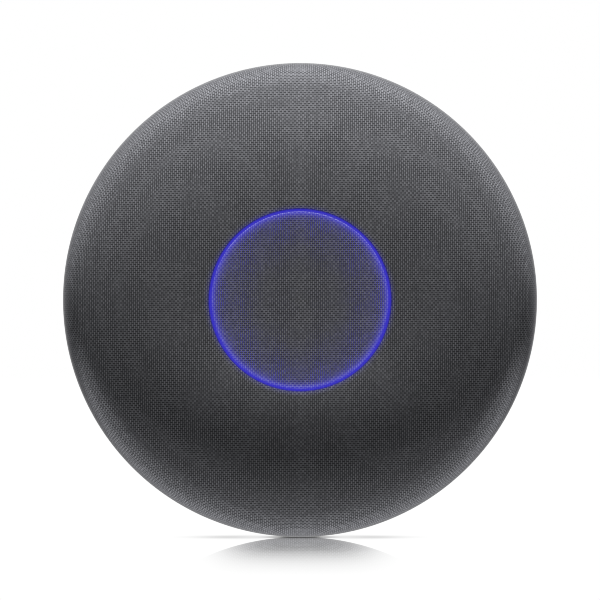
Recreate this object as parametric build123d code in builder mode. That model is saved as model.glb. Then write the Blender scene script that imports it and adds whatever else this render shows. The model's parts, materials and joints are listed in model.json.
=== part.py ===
"""Ceiling or wall wireless access point with a clip-on woven skin, in millimetres.

The wall is the plane Y = 0 and the unit faces -Y, with +Z up. Every height below is a distance
from the wall, measured along -Y, so a point at radius r and height h lies at Y = -h. Angles are
measured about the disc's axis from +X towards +Z, which is anticlockwise seen from the front.

Five bodies meet here: the bracket that is screwed to the wall, the unit that twists onto it, the
skin that clips over the unit, and two small sprung ones (the bracket's latch and the reset plunger).
"""

from build123d import *
from math import asin, cos, degrees, radians, sin, sqrt
import os

os.makedirs("parts", exist_ok=True)

# ---------------------------------------------------------------- driving dimensions

# Dome outline of the fabric's outer face: a crown, a shoulder and a rim arc, all tangent.
skin_radius = 81.5
crown_arc = 200.0
shoulder_arc = 130.0
rim_arc = 14.0
crown_end_slope = 0.25  # sine of the dome's tilt where the crown meets the shoulder

# Light groove and flat centre of the front.
groove_radius = 31.3
groove_width = 0.3
groove_depth = 0.9
lip_height = 34.1  # the foremost circle of the whole object
disc_height = 33.8

# Wall thicknesses and gaps, as insets from the fabric's outer face.
fabric_thickness = 0.4
skin_thickness = 1.2
skin_gap = 0.3
housing_wall = 2.0
running_gap = 0.1

# The skin's edge, its clip beads, and the seam groove of the housings that the beads sit in.
skin_edge_height = 6.2
seam_height = 7.2
bead_groove_height = 6.6
bead_groove_radius = 79.2
bead_count = 8
bead_arc = 6.0  # degrees
bead_radius = 79.75
bead_back = 6.65
bead_thickness = 0.5
window_inner = 27.5
window_outer = 33.1
edge_round = 0.3

# Base housing.
back_height = 1.0
back_face_radius = 68.0
back_round = 1.5
bevel_end_height = 6.4
base_wall = 2.0
recess_radius = 53.5
recess_wall = 2.0
recess_floor = 6.0
recess_inside = 8.0
base_floor_inside = 3.0
tongue_outer = 77.9
tongue_inner = 76.4
tongue_top = 9.0

# Cable well and port island, in X and Z.
well_half_width = 13.0
well_low = -10.0
well_high = 34.0
well_floor = 13.9
well_wall = 1.3
well_corner = 2.0
island_half_width = 9.9
island_low = -33.0
island_back = 1.2
island_wall = 1.5

# Network jack.
jack_half_width = 8.0
jack_front = -10.2
jack_rear = -31.3
jack_back = 3.1
sheet_metal = 0.3
plug_half_width = 5.9
plug_back = 6.6
plug_front = 13.4
plug_depth = 13.5
latch_half_width = 3.2
latch_back = 4.0
contact_count = 8
contact_pitch = 1.02
contact_width = 0.45
contact_thickness = 0.3
contact_tip = -12.6
contact_end = -24.0
contact_low = 11.1

# Reset switch, whose plunger travels 0.3 mm along -Z.
reset_x = 11.2
reset_height = 12.0
pinhole_radius = 1.0
plunger_radius = 0.7
plunger_tip = -11.7
collar_radius = 1.2
collar_front = -14.2
collar_thickness = 0.8
collar_room = 1.5
switch_half_width = 2.6
switch_front = -13.5
switch_wall = 0.6
switch_depth = 5.5
switch_back = 10.2

# Twist lock.
twist = 24.0
tab_count = 4
tab_first = 45.0
tab_width = 18.0
notch_width = 21.0
tab_inner = 47.7
tab_back = 1.6
tab_front = 3.2
flange_back = 3.6
flange_front = 5.2
flange_radius = 51.5
hub_inner = 45.0
hub_outer = 46.5
ring_inner = 37.0
ring_thickness = 2.4
stop_margin = 0.8
stop_width = 2.0
stop_radius = 50.0

# Wall screws, on the bracket's ring.
wall_screw_circle = 41.0
wall_screw_radius = 1.75
wall_screw_head = 3.2
wall_screw_first = 90.0
wall_screw_count = 3

# Latch lever of the bracket, whose tooth points to the bottom of the disc.
latch_angle = 270.0
pivot_circle = 40.8
pivot_angle = 244.0
pivot_radius = 1.5
pivot_fit = 0.05
pin_back = 0.4
pin_head_radius = 2.5
pin_head_height = 0.8
eye_radius = 3.0
lever_back = 2.6
lever_front = 4.6
lever_width = 2.4
latch_gap = 0.2
tooth_tip = 54.8
tooth_half_width = 0.9
tooth_neck = 52.9
tooth_neck_half_width = 2.0
window_first = 263.0
window_size = 18.0

# Relief in the base housing that the tooth runs in, the catch left standing in it, and its backing.
relief_radius = 55.3
relief_front = 5.6
relief_skin = 0.5
catch_first = 267.3
catch_last = 268.8
relief_first = latch_angle - twist - 3.0
relief_last = latch_angle + 3.0
relief_block_radius = 57.0
relief_block_first = 236.0
relief_block_size = 44.0

# Slot under the rim that a flat tool enters to push the tooth back.
slot_half_width = 1.6
slot_wall = 1.6
slot_front = 4.6
slot_end = 76.0
slot_lining_back = 1.2
slot_lining_front = 6.2

# Screws that close the case, and the bosses they run in.
case_screw_circle = 61.5
case_screw_first = 22.5
case_boss_radius = 3.2
base_boss_radius = 4.2
boss_meet = 9.0
case_screw_count = 4
case_screw_head = 2.6
case_head_height = 1.8
case_socket = 1.2
case_socket_depth = 1.2
case_screw_shank = 1.1
case_pilot_depth = 8.0
counterbore_floor = 3.6
pilot_gap = 0.05

# The small screws of both boards.
small_head = 2.2
small_head_height = 1.4
small_slot = 1.2
small_shank = 1.0
small_clearance = 1.2

# Main board, its screws and the heat spreader behind it.
board_radius = 66.0
board_back = 15.5
board_thickness = 1.6
board_notch = 3.8
board_screw_circle = 48.0
board_screw_first = 45.0
board_screw_count = 4
board_pilot_depth = 6.5
post_radius = 3.5
post_neck = 2.4
post_gap = 0.2
spreader_back = 10.0
spreader_front = 12.5
spreader_radius = 53.0
spreader_window = 15.2
spreader_margin = 1.0
pedestal_front = 14.7
hot_pads = ((-40.0, 8.0, 20.0, 20.0), (38.0, 16.0, 16.0, 16.0))

# Shielded parts and chips on the front of the board: X, Z, width and height, then thickness.
shields = ((-40.0, 8.0, 26.0, 26.0), (38.0, 16.0, 30.0, 24.0), (34.0, -20.0, 22.0, 20.0))
fence_wall = 0.4
fence_height = 2.6
lid_back = 0.8
chips = (
    (-44.0, 8.0, 14.0, 14.0, 1.3),
    (-32.5, 8.0, 7.5, 12.0, 1.0),
    (38.0, 16.0, 11.0, 11.0, 1.1),
    (34.0, -20.0, 9.0, 9.0, 1.0),
    (-16.0, -12.0, 8.0, 6.0, 1.0),
    (14.0, 30.0, 5.0, 5.0, 0.9),
)
capacitor_places = ((9.0, 12.0), (12.0, 2.0))
capacitor_radius = 4.0
capacitor_height = 10.0
capacitor_round = 0.5
crystal_places = ((-20.0, 14.0), (18.0, -6.0))
crystal_length = 5.0
crystal_width = 3.2
crystal_corner = 0.6
crystal_height = 1.1

# Network transformer in front of the jack, and power transformer on the board, in X and Z.
network_coil = (-7.5, 7.5, -27.5, -16.5)
network_coil_height = 5.5
network_coil_bevel = 0.4
power_core = (-14.5, -1.5, 2.0, 14.0)
power_coil = (-13.0, -3.0, 2.0, 14.0)
power_core_plate = 2.0
power_coil_height = 5.5

# Aerials, on a circle near the board's rim.
aerial_circle = 57.5
aerial_thickness = 0.4
aerial_foot = 2.0
aerial_leg = 1.8
aerial_5_half = 8.0
aerial_5_height = 3.2
aerial_2_half = 14.0
aerial_2_height = 3.6
aerial_2_first = 55.0
aerial_5_count = 4
aerial_2_count = 2

# Light engine.
aperture_radius = 32.8
guide_inner = 27.9
guide_outer = 32.7
guide_back = 28.4
guide_front = 31.1
guide_flange_inner = 26.0
guide_flange_outer = 34.8
guide_flange_front = 29.8
disc_radius = 27.6
disc_front = 32.3
disc_plate = 1.6
reflector_inner = 25.5
reflector_outer = 34.5
reflector_wall = 1.0
reflector_floor = 0.8
led_board_front = 25.2
led_board_thickness = 1.0
led_board_inner = 25.0
led_board_outer = 35.5
led_count = 8
led_circle = 30.2
led_depth = 2.8
led_width = 3.2
led_height = 1.2
led_gap = 0.4
ear_circle = 38.0
ear_radius = 3.4
ear_boss_radius = 3.0
ear_first = 30.0
ear_count = 3
ear_pilot_depth = 3.0

# Ribbon between the boards: its two heights, and the sockets' and bend's places in Z.
ribbon_thickness = 0.25
ribbon_width = 6.0
ribbon_low = 18.1
ribbon_high = 23.3
ribbon_bend = 36.5
ribbon_bend_radius = 2.0
ribbon_socket_low = 41.0
ribbon_socket_high = 32.0
socket_half_width = 4.0
socket_depth = 4.0
socket_height = 1.6

# Sticker beside the cable well, in X and Z.
label_sides = (-31.0, -16.0, -4.0, 20.0)
label_corner = 1.0
label_thickness = 0.15

cut_past = 1.0  # how far a cut runs on past the edge it opens

housing_inset = skin_thickness + skin_gap
housing_radius = skin_radius - housing_inset
skin_inner_radius = skin_radius - skin_thickness
board_front = board_back + board_thickness
bevel_slope = (bevel_end_height - back_height) / (housing_radius - back_face_radius)
bevel_depth = base_wall * sqrt(1 + bevel_slope**2)
base_floor_radius = back_face_radius + (base_floor_inside - back_height - bevel_depth) / bevel_slope
pivot_x = pivot_circle * cos(radians(pivot_angle))
pivot_z = pivot_circle * sin(radians(pivot_angle))

# ---------------------------------------------------------------- outline of the dome

crown_centre_height = lip_height - sqrt(crown_arc**2 - groove_radius**2)
shoulder_centre_radius = (crown_arc - shoulder_arc) * crown_end_slope
shoulder_centre_height = crown_centre_height + (crown_arc - shoulder_arc) * sqrt(1 - crown_end_slope**2)
shoulder_end_slope = (skin_radius - rim_arc - shoulder_centre_radius) / (shoulder_arc - rim_arc)
rim_centre_radius = skin_radius - rim_arc
rim_centre_height = shoulder_centre_height + (shoulder_arc - rim_arc) * sqrt(1 - shoulder_end_slope**2)
crown_end = degrees(asin(crown_end_slope))
shoulder_end = degrees(asin(shoulder_end_slope))


def front_plane(height):
    """The plane parallel to the wall at that height, facing the front, with X right and Z up."""
    return Plane.XZ.offset(height)


def crown_height(inset, radius):
    """Height of the crown, moved inward by inset, at a radius inside the shoulder."""
    return crown_centre_height + sqrt((crown_arc - inset) ** 2 - radius**2)


def dome_line(inset, start_radius, edge_height):
    """Draws the dome's outline, moved inward by inset, from start_radius out and down to edge_height."""
    crown, shoulder, rim = crown_arc - inset, shoulder_arc - inset, rim_arc - inset
    start = degrees(asin(start_radius / crown))
    CenterArc((0, -crown_centre_height), crown, start - 90, crown_end - start)
    CenterArc(
        (shoulder_centre_radius, -shoulder_centre_height),
        shoulder,
        crown_end - 90,
        shoulder_end - crown_end,
    )
    CenterArc((rim_centre_radius, -rim_centre_height), rim, shoulder_end - 90, 90 - shoulder_end)
    edge = skin_radius - inset
    Line((edge, -rim_centre_height), (edge, -edge_height))


def front_line(inset, edge_height):
    """Draws the whole front from the axis out: flat centre, sloped side, groove, lip and dome."""
    slope_shift = inset * (sqrt(2) - 1)
    groove_floor = disc_height - groove_depth - inset
    slope_end = groove_radius - groove_width - slope_shift
    lip = groove_radius + inset
    Polyline(
        (0, inset - disc_height),
        (slope_end - groove_depth, inset - disc_height),
        (slope_end, -groove_floor),
        (lip, -groove_floor),
        (lip, -crown_height(inset, lip)),
    )
    dome_line(inset, lip, edge_height)


def layer_section(outer, inner, edge_height):
    """Adds the section between two insets of the whole front to the sketch in hand."""
    with BuildLine() as outline:
        front_line(outer, edge_height)
        front_line(inner, edge_height)
        Line((0, outer - disc_height), (0, inner - disc_height))
        Line((skin_radius - outer, -edge_height), (skin_radius - inner, -edge_height))
    make_face(outline.edges())


def ring_section(inner, outer, back, front, mode=Mode.ADD):
    """Adds or cuts the section of a plain ring in the sketch in hand."""
    with Locations(((inner + outer) / 2, -(back + front) / 2)):
        Rectangle(outer - inner, front - back, mode=mode)


def round_corner(section, radius, height, amount):
    """Rounds the corner of a turned section nearest to a radius and a height."""
    fillet(section.vertices().sort_by_distance((radius, -height, 0))[0], amount)


def arc_patch(inner, outer, start, size, mode=Mode.ADD):
    """Adds or cuts a patch between two radii, from the angle start over size degrees."""
    with BuildLine() as outline:
        CenterArc((0, 0), inner, start, size)
        CenterArc((0, 0), outer, start, size)
        for angle in (start, start + size):
            along = (cos(radians(angle)), sin(radians(angle)))
            Line((inner * along[0], inner * along[1]), (outer * along[0], outer * along[1]))
    make_face(outline.edges(), mode=mode)


def rectangle_between(x_low, x_high, z_low, z_high, corner=0, mode=Mode.ADD):
    """Adds or cuts a rectangle given by its sides, with round corners where corner isn't 0."""
    with Locations(((x_low + x_high) / 2, (z_low + z_high) / 2)):
        if corner:
            RectangleRounded(x_high - x_low, z_high - z_low, corner, mode=mode)
        else:
            Rectangle(x_high - x_low, z_high - z_low, mode=mode)


def ring_of(radius, first, count):
    """Places at equal angles on a circle about the disc's axis, for a sketch parallel to the wall."""
    return PolarLocations(radius, count, start_angle=first)


def inner_bevel_height(radius):
    """Height of the inside of the base housing's bevel at a radius."""
    return back_height + (radius - back_face_radius) * bevel_slope + bevel_depth


# ---------------------------------------------------------------- the clip-on skin

# Woven cloth bonded to the front of the skin and turned over its edge.
with BuildPart() as fabric_layer:
    with BuildSketch(Plane.XY):
        layer_section(0, fabric_thickness, skin_edge_height)
        ring_section(
            skin_inner_radius, skin_radius, skin_edge_height, skin_edge_height + fabric_thickness
        )
    revolve(axis=Axis.Y)

# Dark moulded carrier outside the light window, with clip beads inside its edge.
with BuildPart() as skin_shell:
    with BuildSketch(Plane.XY):
        layer_section(fabric_thickness, skin_thickness, skin_edge_height + fabric_thickness)
        ring_section(0, window_outer, 0, lip_height, mode=Mode.SUBTRACT)
    revolve(axis=Axis.Y)
    with BuildSketch(front_plane(bead_back)):
        for index in range(bead_count):
            arc_patch(bead_radius, skin_radius - skin_thickness / 2, index * 360 / bead_count, bead_arc)
    extrude(amount=bead_thickness)

# Translucent ring of the carrier, which forms the light groove.
with BuildPart() as skin_light_window:
    with BuildSketch(Plane.XY):
        layer_section(fabric_thickness, skin_thickness, skin_edge_height)
        ring_section(window_inner, window_outer, 0, lip_height, mode=Mode.INTERSECT)
    revolve(axis=Axis.Y)

# Flat centre of the carrier, inside the light window.
with BuildPart() as skin_centre_plate:
    with BuildSketch(front_plane(disc_height - skin_thickness)):
        Circle(window_inner)
    extrude(amount=skin_thickness - fabric_thickness)

# ---------------------------------------------------------------- front housing and its light engine

# Everything the front housing encloses: the space under its wall, less the bosses left standing.
with BuildPart() as front_space:
    with BuildSketch(Plane.XY):
        with BuildLine():
            dome_line(housing_inset + housing_wall, aperture_radius, seam_height)
            Polyline(
                (skin_radius - housing_inset - housing_wall, -seam_height),
                (0, -seam_height),
                (0, -lip_height),
                (aperture_radius, -lip_height),
                (aperture_radius, -crown_height(housing_inset + housing_wall, aperture_radius)),
            )
        make_face()
    revolve(axis=Axis.Y)
    with BuildSketch(front_plane(boss_meet)):
        with ring_of(case_screw_circle, case_screw_first, case_screw_count):
            Circle(case_boss_radius)
    extrude(amount=lip_height - boss_meet, mode=Mode.SUBTRACT)
    with BuildSketch(front_plane(led_board_front)):
        with ring_of(ear_circle, ear_first, ear_count):
            Circle(ear_boss_radius)
    extrude(amount=lip_height - led_board_front, mode=Mode.SUBTRACT)

# White front housing, with the aperture for the light ring and two sets of screw bosses inside.
with BuildPart() as front_housing:
    with BuildSketch(Plane.XY):
        with BuildLine():
            dome_line(housing_inset, aperture_radius, seam_height)
            Polyline(
                (housing_radius, -seam_height),
                (0, -seam_height),
                (0, -crown_height(housing_inset, aperture_radius)),
                (aperture_radius, -crown_height(housing_inset, aperture_radius)),
            )
        make_face()
    revolve(axis=Axis.Y)
    add(front_space.part, mode=Mode.SUBTRACT)
    with BuildSketch(front_plane(boss_meet)):
        with ring_of(case_screw_circle, case_screw_first, case_screw_count):
            Circle(case_screw_shank + pilot_gap)
    extrude(amount=case_pilot_depth, mode=Mode.SUBTRACT)
    with BuildSketch(front_plane(led_board_front)):
        with ring_of(ear_circle, ear_first, ear_count):
            Circle(small_shank + pilot_gap)
    extrude(amount=ear_pilot_depth, mode=Mode.SUBTRACT)

# Clear ring that carries the light to the front, with a flange under the housing.
with BuildPart() as light_guide_ring:
    with BuildSketch(Plane.XY) as guide_section:
        ring_section(guide_flange_inner, guide_flange_outer, guide_back, guide_flange_front)
        ring_section(guide_inner, guide_outer, guide_back, guide_front)
        round_corner(guide_section, guide_inner, guide_front, edge_round)
        round_corner(guide_section, guide_outer, guide_front, edge_round)
    revolve(axis=Axis.Y)

# Round plate that closes the middle of the front, inside the light guide.
with BuildPart() as centre_disc:
    with BuildSketch(Plane.XY) as disc_section:
        ring_section(0, disc_radius, disc_front - disc_plate, disc_front)
        ring_section(guide_flange_inner, disc_radius, guide_flange_front, disc_front)
        round_corner(disc_section, disc_radius, disc_front, edge_round)
    revolve(axis=Axis.Y)

# White trough behind the light guide, with a window in its floor for each light.
with BuildPart() as reflector_ring:
    with BuildSketch(Plane.XY):
        ring_section(reflector_inner, reflector_outer, led_board_front, guide_back)
        ring_section(
            reflector_inner + reflector_wall,
            reflector_outer - reflector_wall,
            led_board_front + reflector_floor,
            guide_back,
            mode=Mode.SUBTRACT,
        )
    revolve(axis=Axis.Y)
    with BuildSketch(front_plane(led_board_front)):
        with ring_of(led_circle, 0, led_count):
            Rectangle(led_depth + 2 * led_gap, led_width + 2 * led_gap)
    extrude(amount=reflector_floor, mode=Mode.SUBTRACT)

# Ring-shaped light board with three screwed ears.
with BuildPart() as led_board:
    with BuildSketch(front_plane(led_board_front - led_board_thickness)):
        Circle(led_board_outer)
        with ring_of(ear_circle, ear_first, ear_count):
            Circle(ear_radius)
        Circle(led_board_inner, mode=Mode.SUBTRACT)
        with ring_of(ear_circle, ear_first, ear_count):
            Circle(small_clearance, mode=Mode.SUBTRACT)
    extrude(amount=led_board_thickness)

with BuildPart() as status_leds:
    with BuildSketch(front_plane(led_board_front)):
        with ring_of(led_circle, 0, led_count):
            Rectangle(led_depth, led_width)
    extrude(amount=led_height)

with BuildPart() as led_board_screws:
    with BuildSketch(front_plane(led_board_front - led_board_thickness - small_head_height)):
        with ring_of(ear_circle, ear_first, ear_count):
            Circle(small_head)
            Rectangle(small_slot, small_slot, mode=Mode.SUBTRACT)
    extrude(amount=small_head_height / 2)
    with BuildSketch(front_plane(led_board_front - led_board_thickness - small_head_height / 2)):
        with ring_of(ear_circle, ear_first, ear_count):
            Circle(small_head)
    extrude(amount=small_head_height / 2)
    with BuildSketch(front_plane(led_board_front - led_board_thickness)):
        with ring_of(ear_circle, ear_first, ear_count):
            Circle(small_shank)
    extrude(amount=led_board_thickness + ear_pilot_depth - pilot_gap)

# Flat flexible cable from the main board up to the light board, bent in an S, and its two sockets.
with BuildPart() as led_ribbon:
    with BuildSketch(Plane.YZ):
        with BuildLine():
            FilletPolyline(
                (-ribbon_low, ribbon_socket_low),
                (-ribbon_low, ribbon_bend),
                (-ribbon_high, ribbon_bend),
                (-ribbon_high, ribbon_socket_high),
                radius=ribbon_bend_radius,
            )
        trace(line_width=ribbon_thickness)
    extrude(amount=ribbon_width / 2, both=True)

with BuildPart() as ribbon_sockets:
    with BuildSketch(front_plane(board_front)):
        rectangle_between(
            -socket_half_width, socket_half_width, ribbon_socket_low, ribbon_socket_low + socket_depth
        )
    extrude(amount=socket_height)
    with BuildSketch(front_plane(led_board_front - led_board_thickness - socket_height)):
        rectangle_between(
            -socket_half_width, socket_half_width, ribbon_socket_high - socket_depth, ribbon_socket_high
        )
    extrude(amount=socket_height)

# ---------------------------------------------------------------- main board and what stands on it

with BuildPart() as main_board:
    with BuildSketch(front_plane(board_back)):
        Circle(board_radius)
        with ring_of(case_screw_circle, case_screw_first, case_screw_count):
            Circle(board_notch, mode=Mode.SUBTRACT)
        with ring_of((case_screw_circle + board_radius + cut_past) / 2, case_screw_first, case_screw_count):
            Rectangle(board_radius + cut_past - case_screw_circle, 2 * board_notch, mode=Mode.SUBTRACT)
        with ring_of(board_screw_circle, board_screw_first, board_screw_count):
            Circle(small_clearance, mode=Mode.SUBTRACT)
    extrude(amount=board_thickness)

with BuildPart() as board_screws:
    with BuildSketch(front_plane(board_front)):
        with ring_of(board_screw_circle, board_screw_first, board_screw_count):
            Circle(small_head)
    extrude(amount=small_head_height / 2)
    with BuildSketch(front_plane(board_front + small_head_height / 2)):
        with ring_of(board_screw_circle, board_screw_first, board_screw_count):
            Circle(small_head)
            Rectangle(small_slot, small_slot, mode=Mode.SUBTRACT)
    extrude(amount=small_head_height / 2)
    with BuildSketch(front_plane(board_front)):
        with ring_of(board_screw_circle, board_screw_first, board_screw_count):
            Circle(small_shank)
    extrude(amount=pilot_gap - board_pilot_depth - board_thickness)

# Cast plate behind the board, windowed around the cable well, with a raised pad under each hot chip.
with BuildPart() as heat_spreader:
    with BuildSketch(front_plane(spreader_back)):
        Circle(spreader_radius)
        rectangle_between(
            -spreader_window,
            spreader_window,
            island_low - spreader_margin,
            well_high + 2 * spreader_margin,
            mode=Mode.SUBTRACT,
        )
        with ring_of(board_screw_circle, board_screw_first, board_screw_count):
            Circle(post_neck + post_gap, mode=Mode.SUBTRACT)
    extrude(amount=spreader_front - spreader_back)
    with BuildSketch(front_plane(spreader_front)):
        for x, z, width, height in hot_pads:
            with Locations((x, z)):
                Rectangle(width, height)
    extrude(amount=pedestal_front - spreader_front)

with BuildPart() as thermal_pads:
    with BuildSketch(front_plane(pedestal_front)):
        for x, z, width, height in hot_pads:
            with Locations((x, z)):
                Rectangle(width, height)
    extrude(amount=board_back - pedestal_front)

with BuildPart() as board_chips:
    for x, z, width, height, thickness in chips:
        with BuildSketch(front_plane(board_front)):
            with Locations((x, z)):
                Rectangle(width, height)
        extrude(amount=thickness)

# Tinned fences soldered round each radio and the processor, and the lids pressed over them.
with BuildPart() as shield_fences:
    with BuildSketch(front_plane(board_front)):
        for x, z, width, height in shields:
            with Locations((x, z)):
                Rectangle(width, height)
                Rectangle(width - 2 * fence_wall, height - 2 * fence_wall, mode=Mode.SUBTRACT)
    extrude(amount=fence_height)

with BuildPart() as shield_lids:
    with BuildSketch(front_plane(board_front + lid_back)):
        for x, z, width, height in shields:
            with Locations((x, z)):
                Rectangle(width + 2 * sheet_metal, height + 2 * sheet_metal)
    extrude(amount=fence_height + sheet_metal - lid_back)
    with BuildSketch(front_plane(board_front + lid_back)):
        for x, z, width, height in shields:
            with Locations((x, z)):
                Rectangle(width, height)
    extrude(amount=fence_height - lid_back, mode=Mode.SUBTRACT)

with BuildPart() as ethernet_transformer:
    with BuildSketch(front_plane(board_front)):
        rectangle_between(*network_coil)
    extrude(amount=network_coil_height)
    chamfer(ethernet_transformer.faces().sort_by(Axis.Y)[0].edges(), network_coil_bevel)

# Power transformer: a wound bobbin between two ferrite halves.
with BuildPart() as poe_transformer:
    for plate_back in (board_front, board_front + power_core_plate + power_coil_height):
        with BuildSketch(front_plane(plate_back)):
            rectangle_between(*power_core)
        extrude(amount=power_core_plate)
    with BuildSketch(front_plane(board_front + power_core_plate)):
        rectangle_between(*power_coil)
    extrude(amount=power_coil_height)

with BuildPart() as capacitors:
    with BuildSketch(front_plane(board_front)):
        with Locations(*capacitor_places):
            Circle(capacitor_radius)
    extrude(amount=capacitor_height)
    fillet(capacitors.faces().sort_by(Axis.Y)[: len(capacitor_places)].edges(), capacitor_round)

with BuildPart() as crystals:
    with BuildSketch(front_plane(board_front)):
        with Locations(*crystal_places):
            RectangleRounded(crystal_length, crystal_width, crystal_corner)
    extrude(amount=crystal_height)

# Stamped aerials standing near the board's rim on two feet each.
with BuildPart() as aerials_5ghz:
    with BuildSketch(front_plane(board_front)):
        with ring_of(aerial_circle, 0, aerial_5_count):
            with Locations((0, -aerial_5_half + aerial_foot), (0, -aerial_5_half / 3)):
                Rectangle(aerial_thickness, aerial_foot)
    extrude(amount=aerial_leg)
    with BuildSketch(front_plane(board_front + aerial_leg)):
        with ring_of(aerial_circle, 0, aerial_5_count):
            Rectangle(aerial_thickness, 2 * aerial_5_half)
    extrude(amount=aerial_5_height)

with BuildPart() as aerials_2ghz:
    with BuildSketch(front_plane(board_front)):
        with ring_of(aerial_circle, aerial_2_first, aerial_2_count):
            with Locations((0, -aerial_2_half + aerial_foot), (0, -aerial_2_half / 3)):
                Rectangle(aerial_thickness, aerial_foot)
    extrude(amount=aerial_leg)
    with BuildSketch(front_plane(board_front + aerial_leg)):
        with ring_of(aerial_circle, aerial_2_first, aerial_2_count):
            Rectangle(aerial_thickness, 2 * aerial_2_half)
    extrude(amount=aerial_2_height)

# ---------------------------------------------------------------- network jack and reset switch


def mouth_section(margin):
    """Adds the outline of a plug with its latch, grown by margin, to a sketch facing +Z."""
    with Locations((0, -(plug_back + plug_front) / 2)):
        Rectangle(2 * (plug_half_width + margin), plug_front - plug_back + 2 * margin)
    with Locations((0, -(latch_back + plug_back) / 2)):
        Rectangle(2 * (latch_half_width + margin), plug_back - latch_back + 2 * margin)


with BuildPart() as rj45_shell:
    with BuildSketch(front_plane(jack_back)):
        rectangle_between(-jack_half_width, jack_half_width, jack_rear, jack_front)
    extrude(amount=board_back - jack_back)
    with BuildSketch(front_plane(jack_back + sheet_metal)):
        rectangle_between(
            sheet_metal - jack_half_width,
            jack_half_width - sheet_metal,
            jack_rear + sheet_metal,
            jack_front - sheet_metal,
        )
    extrude(amount=board_back - jack_back - 2 * sheet_metal, mode=Mode.SUBTRACT)
    with BuildSketch(Plane.XY.offset(jack_front)):
        mouth_section(sheet_metal)
    extrude(amount=-sheet_metal, mode=Mode.SUBTRACT)

with BuildPart() as rj45_insert:
    with BuildSketch(front_plane(jack_back + sheet_metal)):
        rectangle_between(
            sheet_metal - jack_half_width,
            jack_half_width - sheet_metal,
            jack_rear + sheet_metal,
            jack_front - sheet_metal,
        )
    extrude(amount=board_back - jack_back - 2 * sheet_metal)
    with BuildSketch(Plane.XY.offset(jack_front - sheet_metal)):
        mouth_section(0)
    extrude(amount=-plug_depth, mode=Mode.SUBTRACT)

# Gold spring contacts, which slope down from the mouth to the back of the socket.
with BuildPart() as rj45_contacts:
    for index in range(contact_count):
        with BuildSketch(Plane.YZ.offset((index - (contact_count - 1) / 2) * contact_pitch)):
            with BuildLine():
                Polyline(
                    (-plug_front, contact_tip),
                    (-plug_front + contact_thickness, contact_tip),
                    (-contact_low + contact_thickness, contact_end),
                    (-contact_low, contact_end),
                    close=True,
                )
            make_face()
        extrude(amount=contact_width / 2, both=True)

# Push switch on the board beside the jack: a bore for the plunger and a chamber for its collar.
with BuildPart() as reset_switch:
    with BuildSketch(front_plane(switch_back)):
        rectangle_between(
            reset_x - switch_half_width,
            reset_x + switch_half_width,
            switch_front - switch_depth,
            switch_front,
        )
    extrude(amount=board_back - switch_back)
    with BuildSketch(Plane.XY.offset(switch_front)):
        with Locations((reset_x, -reset_height)):
            Circle(plunger_radius + running_gap)
    extrude(amount=-switch_wall, mode=Mode.SUBTRACT)
    with BuildSketch(Plane.XY.offset(switch_front - switch_wall)):
        with Locations((reset_x, -reset_height)):
            Circle(collar_radius + running_gap)
    extrude(amount=-collar_room, mode=Mode.SUBTRACT)

with BuildPart() as reset_plunger:
    with BuildSketch(Plane.XY.offset(plunger_tip)):
        with Locations((reset_x, -reset_height)):
            Circle(plunger_radius)
    extrude(amount=collar_front - plunger_tip)
    with BuildSketch(Plane.XY.offset(collar_front)):
        with Locations((reset_x, -reset_height)):
            Circle(collar_radius)
    extrude(amount=-collar_thickness)

# ---------------------------------------------------------------- base housing

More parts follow.
